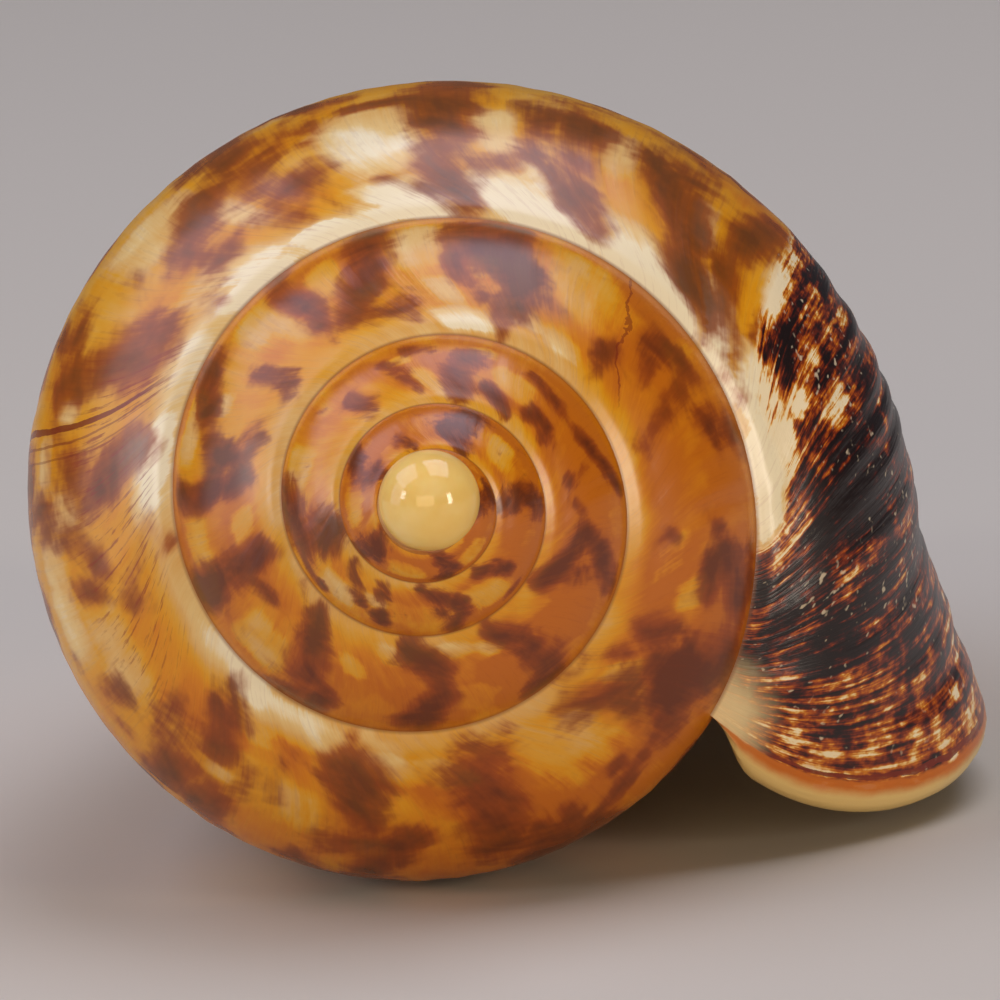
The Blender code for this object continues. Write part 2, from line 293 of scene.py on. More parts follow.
def reliefAt(turn, place):
    size = np.minimum(coil["growth"] ** turn, 1.0)
    cord = relief["cordHeight"] * bulge(place, relief["cordPlace"], relief["cordHalfWidth"])
    cord = cord * fade(place, 0.0, 0.12)
    covered = 1.0 - fade(turn, -1.05, -1.0)
    trough = -relief["troughDepth"] * bulge(place, 2.0, relief["troughHalfWidth"])
    trough = trough * fade(2.0 - place, 0.0, 0.06) * covered
    line = growthLine(turn, place)
    dice = np.random.default_rng(relief["seed"])
    ripples = np.zeros(turn.shape)
    for _ in range(relief["rippleCount"]):
        perTurn = dice.uniform(*relief["ripplesPerTurn"])
        phase = dice.uniform(0.0, 6.28)
        sway = dice.uniform(-1.0, 1.0)
        ripples += np.sin(2.0 * np.pi * perTurn * line + phase + sway * place)
    ripples *= 1.0 / math.sqrt(relief["rippleCount"])
    strength = relief["rippleHeight"] + relief["roughHeight"] * fade(turn, *relief["roughTurns"])
    inner = fade(place, 0.0, 0.5) * np.where(turn < -1.0, fade(2.0 - place, 0.0, 0.4), 1.0)
    settled = fade(-turn, 0.0, relief["evenEdge"])
    steps = np.zeros(turn.shape)
    for at, height, width in relief["rests"]:
        step = height * (1.0 - fade(line, at - width, at + width))
        steps += step * bulge(np.minimum(line - at, 0.0), 0.0, relief["restTurns"])
    return (cord + trough + (ripples * strength + steps) * inner * settled) * size


def ridges(turn, place, height):
    ridge = np.zeros(turn.shape)
    for atLip, size in zip(folds["heights"], folds["sizes"]):
        crest = atLip - folds["rise"] * (turn + 1.0)
        ridge += size * bulge(height, crest, folds["halfWidth"])
    ridge *= between(place, folds["topPlaces"], folds["footPlaces"]) * (1.0 - fade(turn, *folds["ends"]))
    crest = 10.0 + fasciole["rise"] * (turn - coil["notchTurn"])
    band = fasciole["height"] * bulge(place, crest, fasciole["halfWidth"])
    return ridge + band * between(turn, fasciole["start"], fasciole["end"])


def outerFace(turn, place):
    turn, place = np.broadcast_arrays(np.asarray(turn, float), np.asarray(place, float))
    points = smoothWhorl(turn, place)
    lift = ridges(turn, place, points[..., 2])
    # no ripples where the callus lies, or on a covered whorl
    below = fade(place, 2.0, 2.6)
    bare = fade(turn, -1.0, -0.97) * below + (1.0 - below)
    lift = lift + reliefAt(turn, place) * np.where(turn >= -1.0, bare, np.where(place <= 2.0, 1.0, 0.0))
    return points + lift[..., None] * outward(turn, place)


def innerFace(turn, place):
    turn, place = np.broadcast_arrays(np.asarray(turn, float), np.asarray(place, float))
    thickness = coil["wall"] + coil["lipExtra"] * fade(turn, -coil["lipExtraTurns"], 0.0)
    return smoothWhorl(turn, place) - thickness[..., None] * outward(turn, place)


# how finely the surface is divided
mesh = {
    "perTurn": 300,
    "apexTurn": -4.5,  # inside the bead
    "rimRows": 8,
    "rimTurns": 0.027,
    # down to this place, in so many rows; from 2.0 to 2.5 there is one for each row of the rim
    "rowsTo": [(0.24, 4), (2.0, 20), (2.5, 8), (3.0, 3), (6.4, 14), (9.0, 25), (10.0, 7)],
    "weld": 1e-4,  # millimetres
    "smoothAngle": 32.0,  # less than the angle in a suture
    # each step of the columella's rounded end: how much narrower, and how many millimetres out
    "tipSteps": [
        (0.983, 0.22), (0.951, 0.19), (0.92, 0.15), (0.89, 0.1), (0.86, 0.03), (0.6, 0.01), (0.4, 0.0),
    ],
    "tipGrowth": (-0.6, 10.0),  # its turn and place
}


def rowPlaces():
    places = [0.0]
    for below, count in mesh["rowsTo"]:
        places += list(np.linspace(places[-1], below, count + 1))[1:]
    return np.array(places)


def columnTurns(start, end):
    # every column is a whole number of steps from the lip, so that neighbouring turns meet point to point
    return np.arange(round(start * mesh["perTurn"]), round(end * mesh["perTurn"]) + 1) / mesh["perTurn"]


def rimStrip(outer, inner, roundness):
    middle, half = (outer + inner) / 2.0, (outer - inner) / 2.0
    angles = np.linspace(0.0, math.pi, mesh["rimRows"] + 1)
    return np.stack([middle + half * math.cos(a) + roundness * math.sin(a) for a in angles], 1)


def halfGap(one, other):
    return np.linalg.norm(one - other, axis=-1, keepdims=True) / 2.0


def hollowFaces(turns, places):
    opening = hollow["canalEndTurn"] - hollow["endTurn"]
    depth = np.clip((turns - hollow["endTurn"]) / opening, 0.0, 1.0) ** hollow["floorEase"]
    innerFloor, outerFloor = ((end + (10.0 - end) * depth)[:, None] for end in hollow["floorPlaces"])
    belowTop = places[places > hollow["topPlace"] - 1e-9] - hollow["topPlace"]
    innerPlaces = hollow["topPlace"] + belowTop / belowTop[-1] * (innerFloor - hollow["topPlace"])
    inner = outerFace((turns - 1.0)[:, None], innerPlaces)
    outerPlaces = hollow["wallPlace"] + places / places[-1] * (outerFloor - hollow["wallPlace"])
    outer = innerFace(turns[:, None], outerPlaces)
    closed = 1.0 - np.clip((turns - hollow["canalEndTurn"]) / hollow["canalOpening"], 0.0, 1.0)
    pull = fade(places, *hollow["canalPlaces"]) * closed[:, None]
    outer += pull[..., None] * (inner[:, -1] - outer[:, -1])[:, None]
    outer[:, 0] = inner[:, 0]
    return inner, innerPlaces, outer, outerPlaces


def rims(lastWhorl, liningFace, turns, places):
    forward = unit(lastWhorl[-1] - lastWhorl[-2])
    rounding = fade(places, *hollow["lipRoundPlaces"])[:, None]
    lipBulge = forward * halfGap(lastWhorl[-1], liningFace[-1]) * rounding
    front = turns > hollow["canalEndTurn"] - 1e-9
    edge = lastWhorl[-np.count_nonzero(front) :]
    innerEdge = liningFace[front, -1]
    downward = unit(edge[:, -1] - edge[:, -2])
    opened = fade(turns[front], hollow["canalEndTurn"], hollow["canalEndTurn"] + hollow["canalOpening"])
    frontBulge = downward * halfGap(edge[:, -1], innerEdge) * opened[:, None]
    corner = unit(forward[-1] + downward[-1]) * halfGap(edge[-1, -1], innerEdge[-1])
    lipBulge[-1] = corner
    frontBulge[-1] = corner
    lip = rimStrip(lastWhorl[-1], liningFace[-1], lipBulge)
    lip[0] = outerFace(-1.0, np.linspace(2.0, hollow["topPlace"], mesh["rimRows"] + 1))
    return lip, rimStrip(edge[:, -1], innerEdge, frontBulge), turns[front]


# The colour pattern, as it was laid down. Flames are strokes down the whorl: strength, half width in
# thousandths of a turn, then the turn and the place of each point. Patches of paler ground are rounded: turn,
# place, half length in turns, half height in places, and how pale.
pattern = {
    "flames": [
        # last whorl, from the turn before the lip onwards
        (0.7, 7, -0.98, 0.08, -1.0, 0.38),
        (0.78, 15, -0.95, 0.27, -0.963, 0.42, -0.978, 0.65, -0.986, 0.88, -0.997, 1.15),
        (0.9, 12, -0.995, 1.2, -0.981, 1.45), (0.7, 6, -0.955, 1.24, -0.947, 1.3),
        (0.85, 8, -0.963, 1.45, -0.943, 1.6, -0.933, 1.78), (0.6, 10, -0.905, 0.13, -0.872, 0.33),
        (0.95, 17, -0.876, 0.38, -0.885, 0.65, -0.888, 0.95, -0.885, 1.26, -0.882, 1.52),
        (0.9, 16, -0.908, 1.62, -0.905, 2.0), (0.95, 11, -0.841, 1.25, -0.834, 1.55, -0.827, 1.85),
        (0.68, 6, -0.799, 0.08, -0.8, 0.3),
        (0.95, 15, -0.798, 0.48, -0.811, 0.76, -0.816, 1.03, -0.813, 1.32),
        (0.85, 11, -0.715, 0.24, -0.723, 0.46, -0.733, 0.69, -0.738, 0.9),
        (0.5, 8, -0.772, 0.55, -0.768, 0.8, -0.772, 1.05),
        (0.58, 7, -0.757, 0.95, -0.757, 1.22, -0.746, 1.42),
        (0.62, 9, -0.721, 0.92, -0.724, 1.22, -0.733, 1.42), (0.9, 11, -0.747, 1.6, -0.752, 2.05),
        (0.88, 10, -0.729, 1.42, -0.723, 1.88), (0.6, 9, -0.704, 0.84, -0.707, 1.15),
        (0.75, 8, -0.691, 1.32, -0.681, 1.65), (0.6, 6, -0.702, 1.72, -0.665, 1.84),
        (0.8, 10, -0.619, 0.12, -0.614, 0.18), (0.6, 7, -0.603, 0.27, -0.633, 0.5, -0.647, 0.74),
        (0.7, 7, -0.643, 1.02, -0.637, 1.38), (0.6, 8, -0.632, 0.88, -0.619, 1.18, -0.614, 1.48),
        (0.95, 12, -0.566, 0.38, -0.579, 0.62, -0.587, 0.8),
        (0.66, 16, -0.588, 0.88, -0.583, 1.25, -0.58, 1.52), (0.75, 12, -0.604, 1.6, -0.6, 1.9),
        (0.52, 11, -0.536, 0.12, -0.55, 0.36),
        (0.88, 13, -0.51, 0.48, -0.523, 0.69, -0.534, 0.95, -0.543, 1.25, -0.549, 1.55),
        (0.62, 12, -0.534, 1.62, -0.53, 2.0), (0.58, 9, -0.5, 0.1, -0.48, 0.24),
        (0.74, 15, -0.462, 0.68, -0.471, 0.95, -0.46, 1.18, -0.449, 1.36),
        (0.66, 10, -0.43, 0.18, -0.413, 0.33, -0.417, 0.5),
        (0.7, 19, -0.42, 0.62, -0.427, 1.0, -0.428, 1.35, -0.431, 1.62),
        (0.56, 9, -0.405, 0.68, -0.405, 1.15, -0.403, 1.52), (0.82, 21, -0.433, 1.74, -0.436, 2.1),
        (0.8, 5, -0.386, 1.68, -0.358, 1.76), (0.85, 14, -0.352, 1.82, -0.345, 2.12),
        (0.6, 5, -0.39, 0.1, -0.399, 0.42, -0.404, 0.62), (0.5, 4, -0.377, 0.56, -0.354, 0.58),
        (0.82, 14, -0.333, 0.05, -0.34, 0.38, -0.347, 0.76, -0.345, 1.15, -0.347, 1.62),
        (0.76, 9, -0.333, 0.7, -0.32, 0.75, -0.308, 0.95, -0.307, 1.25, -0.308, 1.68),
        (0.62, 7, -0.266, 0.02, -0.27, 0.2),
        (0.76, 14, -0.267, 0.2, -0.28, 0.42, -0.288, 0.76, -0.291, 1.15, -0.288, 1.58),
        (0.88, 13, -0.195, 0.2, -0.213, 0.42, -0.227, 0.65, -0.234, 0.88, -0.246, 1.1, -0.254, 1.35),
        (0.76, 17, -0.246, 1.15, -0.254, 1.4, -0.25, 1.75, -0.245, 2.1),
        (0.84, 9, -0.17, 0.12, -0.181, 0.34, -0.2, 0.57, -0.21, 0.88, -0.213, 1.2, -0.21, 1.52, -0.203, 1.95),
        (0.6, 5, -0.222, 0.95, -0.219, 1.18), (0.72, 4, -0.179, 0.55, -0.185, 0.9),
        (0.72, 6, -0.153, 0.08, -0.165, 0.26),
        # the whorl before it
        (0.8, 14, -1.927, 0.13, -1.937, 0.41, -1.946, 0.7, -1.954, 1.0, -1.95, 1.25),
        (0.95, 16, -1.957, 1.43, -1.949, 1.73), (0.8, 9, -1.936, 1.65, -1.932, 1.84),
        (1.0, 14, -1.83, 0.22, -1.847, 0.46, -1.86, 0.75, -1.862, 1.03, -1.85, 1.33, -1.845, 1.69),
        (0.98, 13, -1.72, 0.29, -1.733, 0.53, -1.743, 0.76),
        (0.8, 15, -1.744, 0.76, -1.75, 1.0, -1.753, 1.29, -1.747, 1.6, -1.742, 1.79),
        (0.95, 12, -1.77, 1.47, -1.767, 1.83), (0.6, 5, -1.683, 0.12, -1.71, 0.26),
        (0.95, 13, -1.64, 0.41, -1.643, 0.66, -1.646, 0.97, -1.65, 1.24, -1.657, 1.55, -1.657, 1.94),
        (0.48, 6, -1.685, 0.64, -1.655, 0.77),
        (0.82, 9, -1.573, 0.55, -1.583, 0.84, -1.587, 1.15, -1.597, 1.38, -1.593, 1.68),
        (0.95, 10, -1.56, 0.83, -1.563, 0.98), (0.62, 8, -1.537, 0.45, -1.557, 0.65),
        (0.72, 12, -1.57, 1.0, -1.553, 1.2, -1.533, 1.38, -1.517, 1.57, -1.51, 1.82),
        (0.78, 8, -1.48, 0.4, -1.49, 0.62, -1.498, 0.88), (0.55, 8, -1.49, 0.22, -1.494, 0.32),
        (0.82, 10, -1.437, 0.75, -1.44, 1.07, -1.445, 1.37, -1.449, 1.65, -1.443, 1.92),
        (0.52, 5, -1.433, 0.4, -1.437, 0.6),
        (0.8, 13, -1.411, 0.61, -1.397, 0.89, -1.39, 1.17, -1.388, 1.44, -1.387, 1.75),
        (0.58, 9, -1.36, 0.18, -1.377, 0.43, -1.417, 0.49), (0.62, 8, -1.289, 0.15, -1.3, 0.4, -1.304, 0.59),
        (0.86, 17, -1.28, 0.66, -1.293, 0.92, -1.31, 1.19, -1.327, 1.37, -1.33, 1.63),
        (0.74, 8, -1.312, 0.58, -1.333, 0.87, -1.337, 1.13), (0.66, 13, -1.3, 1.2, -1.307, 1.58),
        (0.8, 6, -1.334, 1.81, -1.3, 1.83), (0.78, 8, -1.21, 0.24, -1.22, 0.5, -1.22, 0.67),
        (0.66, 9, -1.148, 0.38, -1.16, 0.62, -1.17, 0.95, -1.172, 1.15), (0.5, 7, -1.182, 0.75, -1.198, 1.05),
        (0.66, 12, -1.2, 1.3, -1.18, 1.42), (0.86, 11, -1.147, 1.44, -1.14, 1.77),
        (0.6, 7, -1.078, 0.33, -1.085, 0.5), (0.8, 7, -1.072, 1.1, -1.052, 1.1),
        (0.72, 7, -1.098, 1.04, -1.083, 1.34), (0.88, 12, -1.077, 1.37, -1.057, 1.65),
        (0.72, 8, -1.08, 1.84, -1.063, 1.91), (0.86, 9, -1.02, 0.48, -1.027, 0.85),
        (1.0, 17, -1.006, 1.0, -1.017, 1.35, -1.023, 1.76),
        # the third whorl
        (0.92, 12, -2.953, 0.26, -2.973, 0.44, -2.99, 0.69, -3.0, 0.93), (0.7, 6, -3.0, 1.62, -2.965, 1.7),
        (0.92, 14, -2.833, 0.15, -2.857, 0.39, -2.883, 0.64, -2.907, 0.93, -2.9, 1.23, -2.89, 1.57,
         -2.882, 1.8),
        (0.62, 12, -2.867, 0.64, -2.877, 1.01), (0.64, 13, -2.767, 0.33, -2.773, 0.51),
        (0.92, 12, -2.783, 1.32, -2.787, 1.54), (0.72, 11, -2.7, 0.3, -2.715, 0.55, -2.735, 0.8, -2.75, 1.08),
        (1.0, 27, -2.627, 0.26, -2.633, 0.55, -2.641, 0.82, -2.637, 1.19, -2.623, 1.44, -2.6, 1.72),
        (0.72, 8, -2.66, 1.61, -2.702, 1.66), (0.66, 12, -2.433, 0.32, -2.447, 0.57, -2.45, 0.93),
        (0.66, 8, -2.363, 0.32, -2.377, 0.6, -2.384, 0.89, -2.403, 1.23),
        (0.8, 17, -2.313, 0.28, -2.32, 0.6, -2.32, 0.88, -2.313, 1.13), (0.62, 8, -2.35, 1.28, -2.377, 1.5),
        (0.82, 8, -2.243, 0.21, -2.26, 0.4, -2.283, 0.59), (0.82, 10, -2.189, 0.42, -2.2, 0.63, -2.223, 0.59),
        (0.88, 8, -2.247, 1.39, -2.227, 1.24, -2.2, 1.12, -2.173, 1.16, -2.153, 1.33, -2.133, 1.53,
         -2.117, 1.76),
        (0.62, 8, -2.13, 0.6, -2.143, 0.95), (0.55, 8, -2.107, 0.61, -2.102, 0.7),
        (0.9, 12, -2.007, 0.22, -2.033, 0.45, -2.057, 0.61, -2.077, 0.77, -2.073, 0.98, -2.057, 1.26,
         -2.04, 1.66),
        (0.6, 12, -2.03, 0.64, -2.04, 0.9),
        # the first small whorls round the bead
        (0.9, 20, -3.1, 0.15, -3.13, 0.8, -3.11, 1.5), (0.85, 24, -3.27, 0.1, -3.31, 0.9, -3.28, 1.6),
        (0.8, 12, -3.39, 0.2, -3.42, 0.7), (0.9, 22, -3.5, 0.2, -3.53, 0.9, -3.5, 1.7),
        (0.85, 26, -3.68, 0.1, -3.71, 0.9, -3.69, 1.6), (0.95, 24, -3.88, 0.1, -3.91, 1.0, -3.89, 1.7),
        (0.8, 28, -4.1, 0.2, -4.14, 1.6),
    ],
    "patches": [
        (-0.99, 0.51, 0.01, 0.18, 0.35), (-0.95, 0.5, 0.01, 0.2, 0.25), (-0.934, 0.74, 0.026, 0.42, 0.2),
        (-0.861, 0.48, 0.015, 0.2, 0.32), (-0.828, 0.42, 0.02, 0.18, 0.26), (-0.757, 0.23, 0.04, 0.18, 0.42),
        (-0.745, 0.52, 0.011, 0.13, 0.18), (-0.672, 1.15, 0.026, 0.28, 0.24),
        (-0.643, 1.63, 0.028, 0.24, 0.34), (-0.744, 1.17, 0.008, 0.11, 0.34),
        (-0.604, 1.36, 0.009, 0.22, 0.34), (-0.582, 1.66, 0.011, 0.15, 0.3), (-0.577, 0.27, 0.025, 0.2, 0.48),
        (-0.56, 1.4, 0.006, 0.2, 0.28), (-0.786, 1.1, 0.012, 0.3, 0.1), (-0.823, 1.42, 0.01, 0.14, 0.14),
        (-0.467, 0.45, 0.024, 0.23, 0.36), (-0.476, 1.52, 0.022, 0.36, 0.4), (-0.443, 0.9, 0.007, 0.3, 0.55),
        (-0.409, 0.16, 0.013, 0.14, 0.55), (-0.455, 0.1, 0.022, 0.12, 0.5), (-0.37, 0.39, 0.024, 0.18, 0.38),
        (-0.377, 1.12, 0.021, 0.52, 0.42), (-0.36, 0.12, 0.02, 0.09, 0.5), (-0.303, 0.32, 0.022, 0.3, 0.95),
        (-0.325, 1.2, 0.01, 0.37, 0.42), (-0.302, 0.68, 0.007, 0.18, 0.6), (-0.245, 0.4, 0.018, 0.2, 0.5),
        (-0.225, 0.12, 0.028, 0.13, 0.6), (-0.274, 1.38, 0.008, 0.33, 0.42), (-0.197, 0.48, 0.012, 0.22, 0.5),
        (-0.229, 1.15, 0.007, 0.28, 0.32), (-0.19, 1.2, 0.007, 0.32, 0.45), (-0.171, 0.08, 0.014, 0.1, 0.6),
        (-0.135, 0.3, 0.016, 0.27, 0.95), (-0.175, 1.5, 0.006, 0.24, 0.7), (-0.139, 1.15, 0.006, 0.2, 0.75),
        (-0.16, 1.05, 0.006, 0.2, 0.7), (-0.088, 0.36, 0.006, 0.22, 0.6), (-0.148, 0.78, 0.006, 0.16, 0.6),
        (-0.119, 0.28, 0.012, 0.24, 0.8), (-0.1, 0.16, 0.01, 0.14, 0.7), (-0.163, 0.32, 0.011, 0.2, 0.8),
        (-0.187, 0.26, 0.008, 0.16, 0.6), (-1.916, 0.49, 0.011, 0.17, 0.45), (-1.882, 0.3, 0.019, 0.16, 0.22),
        (-1.81, 0.36, 0.019, 0.18, 0.24), (-1.78, 0.75, 0.013, 0.17, 0.24), (-1.708, 1.29, 0.022, 0.35, 0.45),
        (-1.622, 1.47, 0.018, 0.24, 0.18), (-1.615, 0.65, 0.013, 0.19, 0.33),
        (-1.55, 1.62, 0.023, 0.19, 0.45), (-1.527, 1.15, 0.009, 0.12, 0.45),
        (-1.456, 0.95, 0.011, 0.33, 0.28), (-1.472, 1.42, 0.017, 0.34, 0.34),
        (-1.42, 1.26, 0.012, 0.34, 0.34), (-1.361, 1.38, 0.018, 0.37, 0.5), (-1.394, 0.76, 0.01, 0.13, 0.1),
        (-1.341, 0.62, 0.011, 0.19, 0.5), (-1.325, 0.23, 0.024, 0.15, 0.6), (-1.281, 0.44, 0.018, 0.15, 0.38),
        (-1.245, 0.35, 0.02, 0.14, 0.28), (-1.316, 0.98, 0.011, 0.2, 0.2), (-1.255, 1.22, 0.022, 0.51, 0.2),
        (-1.07, 0.55, 0.013, 0.2, 0.18), (-1.05, 0.88, 0.012, 0.18, 0.18), (-2.95, 1.06, 0.032, 0.49, 0.45),
        (-2.768, 0.87, 0.018, 0.18, 0.45), (-2.715, 1.25, 0.03, 0.34, 0.5), (-2.556, 1.3, 0.026, 0.43, 0.4),
        (-2.386, 1.21, 0.013, 0.14, 0.35), (-2.35, 0.51, 0.013, 0.38, 0.33),
        (-2.255, 0.89, 0.026, 0.29, 0.33), (-2.3, 1.41, 0.014, 0.15, 0.33), (-3.21, 0.95, 0.03, 0.45, 0.3),
        (-3.6, 1.1, 0.04, 0.5, 0.3), (-3.8, 1.1, 0.045, 0.5, 0.45), (-3.98, 1.2, 0.045, 0.5, 0.4),
    ],
    # paleness of the ground along the coil: turn, and level from 0 (burnt orange) to 1 (cream white)
    "ground": [
        (-5.0, 0.04), (-3.0, 0.08), (-2.85, 0.22), (-2.7, 0.3), (-2.55, 0.36), (-2.4, 0.3), (-2.25, 0.2),
        (-2.15, 0.06), (-2.0, 0.1), (-1.85, 0.18), (-1.72, 0.24), (-1.6, 0.26), (-1.5, 0.32), (-1.35, 0.34),
        (-1.25, 0.26), (-1.15, 0.14), (-1.0, 0.15), (-0.86, 0.26), (-0.72, 0.34), (-0.62, 0.48), (-0.5, 0.52),
        (-0.35, 0.54), (-0.27, 0.46), (-0.2, 0.48), (-0.1, 0.42), (-0.03, 0.3), (0.0, 0.3),
    ],
    # how much paler the band under the suture is, along the coil
    "band": [
        (-5.0, 0.3), (-2.6, 0.36), (-2.3, 0.4), (-2.0, 0.4), (-1.6, 0.42), (-1.35, 0.52), (-1.1, 0.42),
        (-0.8, 0.56), (-0.6, 0.74), (-0.45, 0.74), (-0.3, 0.66), (-0.12, 0.54), (-0.05, 0.3), (0.0, 0.22),
    ],
    "bandPlace": 0.33,  # and how far down it reaches
    # how dark the last growth is: moment, and level from 0 (as before it) to 1 (nearly black)
    "gloom": [
        (-0.206, 0.0), (-0.19, 0.52), (-0.178, 0.7), (-0.16, 0.54), (-0.146, 0.5), (-0.13, 0.68),
        (-0.112, 0.86), (-0.094, 0.8), (-0.082, 0.48), (-0.07, 0.74), (-0.056, 0.76), (-0.046, 0.52),
        (-0.036, 0.6), (-0.026, 0.44), (-0.016, 0.38), (-0.008, 0.42), (-0.004, 0.3), (0.0, 0.42),
        (0.03, 0.3),
    ],
    "gloomSpares": (0.85, (0.1, 0.62), (-0.14, -0.11)),  # how pale by the suture, places and moments
    "gloomFades": (0.75, (3.5, 8.0)),  # how much, and places
    "striaMoments": ((-0.74, -0.68), (-0.555, -0.53)),
    "striaPlaces": ((0.15, 0.35), (0.9, 1.4)),
    "callusTurns": (-0.985, -0.94),
    "callusPlaces": (2.25, 2.6),
    "lipCallus": (0.9, (-0.055, 0.0), (0.1, 1.0)),  # how thick, turns and places
    "flameWidth": 1.15,
    "olderFlames": (0.08, (-1.15, -0.9)),  # how much more the older whorls' flames spread
    "bandOverFlames": 0.55,
    "placesPerTurn": 18.0,
    # below the shoulder the flames go on as broken zigzags that open and close into tents
    "tentColumns": 17,
    "tentTurns": (-0.985, 0.85),  # from this turn on, over so many turns
    "tentSeed": 21,
}


def strokeField(turn, place, strokes):
    # the stroke's strength in its middle, half of that at its edge, and 0 at twice its half width
    field = np.zeros(turn.shape)
    for strength, halfWidth, *points in strokes:
        width = halfWidth * 0.001 * pattern["flameWidth"]
        high = width * pattern["placesPerTurn"]
        ends = np.reshape(points, (-1, 2)) / (width, high)
        near = (turn > min(points[::2]) - 4.0 * width) & (turn < max(points[::2]) + 4.0 * width)
        x, y = turn[near] / width, place[near] / high
        nearest = np.full(x.shape, 9.0)
        for (atX, atY), (runX, runY) in zip(ends, ends[1:] - ends[:-1]):
            along = np.clip(((x - atX) * runX + (y - atY) * runY) / (runX**2 + runY**2), 0.0, 1.0)
            nearest = np.minimum(nearest, np.hypot(x - atX - along * runX, y - atY - along * runY))
        field[near] = np.maximum(field[near], strength * (1.0 - fade(nearest, 0.0, 2.0)))
    return field


def tentStrokes():
    start, reach = pattern["tentTurns"]
    dice = np.random.default_rng(pattern["tentSeed"])
    strokes = []
    for k in range(pattern["tentColumns"]):
        turn = start + reach / pattern["tentColumns"] * (k + dice.uniform(-0.3, 0.3))
        place, side = dice.uniform(1.9, 2.5), dice.choice([-1.0, 1.0])
        while place < 9.4:
            points = [turn, place]
            for _ in range(dice.integers(2, 6)):
                stride = dice.uniform(0.30, 0.75)
                place += stride
                turn += side * stride * dice.uniform(0.015, 0.055)
                points += [turn, place]
                side = -side
            width = dice.uniform(7.0, 15.0)
            strokes.append((dice.uniform(0.6, 0.95), width, *points))
            if dice.uniform() < 0.5:
                t, p = points[2:4]
                away = dice.choice([-1.0, 1.0]) * dice.uniform(0.015, 0.03)
                strokes.append((0.75, width * 0.8, t, p, t + away, p + dice.uniform(0.3, 0.6)))
            place += dice.uniform(-0.2, 0.5)
    return strokes


def patchField(turn, place):
    # like the strokes' field, it is a half at the edge of a patch, and it is higher in the paler ones
    field = np.zeros(turn.shape)
    for atTurn, atPlace, length, height, paleness in pattern["patches"]:
        # patches lean as growth lines do
        leaning = atTurn + growthLine(atTurn, atPlace) - growthLine(atTurn, place)
        away = ((turn - leaning) / length) ** 4 + ((place - atPlace) / height) ** 4
        field = np.maximum(field, (0.45 + 0.7 * paleness) * np.exp(-0.5 * away))
    return np.clip(field, 0.0, 1.2)


def paint(turn, place):
    # what the glaze reads at each point
    line = growthLine(turn, place)
    pale = np.interp(turn, *zip(*pattern["ground"]))
    band = np.interp(turn, *zip(*pattern["band"])) * np.exp(-((place / pattern["bandPlace"]) ** 2.4))
    share, turns = pattern["olderFlames"]
    flames = strokeField(turn, place, pattern["flames"] + tentStrokes()) + share * (1.0 - fade(turn, *turns))
    gloom = np.interp(line, *zip(*pattern["gloom"]))
    share, places, moments = pattern["gloomSpares"]
    gloom = gloom * (1.0 - share * (1.0 - fade(place, *places)) * (1.0 - fade(line, *moments)))
    share, places = pattern["gloomFades"]
    gloom = gloom * (1.0 - share * fade(place, *places))
    callus = (1.0 - fade(turn, *pattern["callusTurns"])) * fade(place, *pattern["callusPlaces"])
    share, turns, places = pattern["lipCallus"]
    lipCallus = share * fade(turn, *turns) * (1.0 - fade(place, *places))
    striae = between(line, *pattern["striaMoments"]) * between(place, *pattern["striaPlaces"])
    return {
        "flames": flames - pattern["bandOverFlames"] * band,
        "patch": patchField(turn, place),
        "pale": np.clip(pale + band, 0.0, 1.0),
        "gloom": gloom,
        "callus": np.maximum(callus * (turn >= -1.0 - 1e-9), lipCallus),
        "striae": striae,
    }


# The sheets of the surface
def laySheet(name, points, turns, places, material, painted):
    # a grid is added, its points go to their places on the whorl, and its map keeps when and where each grew
    columnCount, rowCount = points.shape[0] - 1, points.shape[1] - 1
    bpy.ops.mesh.primitive_grid_add(x_subdivisions=columnCount, y_subdivisions=rowCount, size=2.0)
    sheet = bpy.context.object
    sheet.name = name
    data = sheet.data
    flat = np.empty(len(data.vertices) * 3, np.float32)
    data.vertices.foreach_get("co", flat)
    across = (flat.reshape(-1, 3)[:, :2] + 1.0) / 2.0 * (columnCount, rowCount)
    column, row = np.round(across).astype(int).T
    data.vertices.foreach_set("co", points[column, row].astype(np.float32).ravel())
    turn, place = (np.broadcast_to(grid, points.shape[:2])[column, row] for grid in (turns, places))
    corners = np.empty(len(data.loops), int)
    data.loops.foreach_get("vertex_index", corners)
    if painted:
        # kept on the faces' corners, so that two whorls that meet in a suture keep a colour each
        for field, values in paint(turn, place).items():
            attribute = data.attributes.new(field, "FLOAT", "CORNER")
            attribute.data.foreach_set("value", values[corners].astype(np.float32))
        turn = growthLine(turn, place)
    data.uv_layers[0].name = "growth"
    grown = np.stack([turn, place], 1)[corners]
    data.uv_layers["growth"].uv.foreach_set("vector", grown.astype(np.float32).ravel())
    data.materials.append(material)
    data.update()
    return sheet


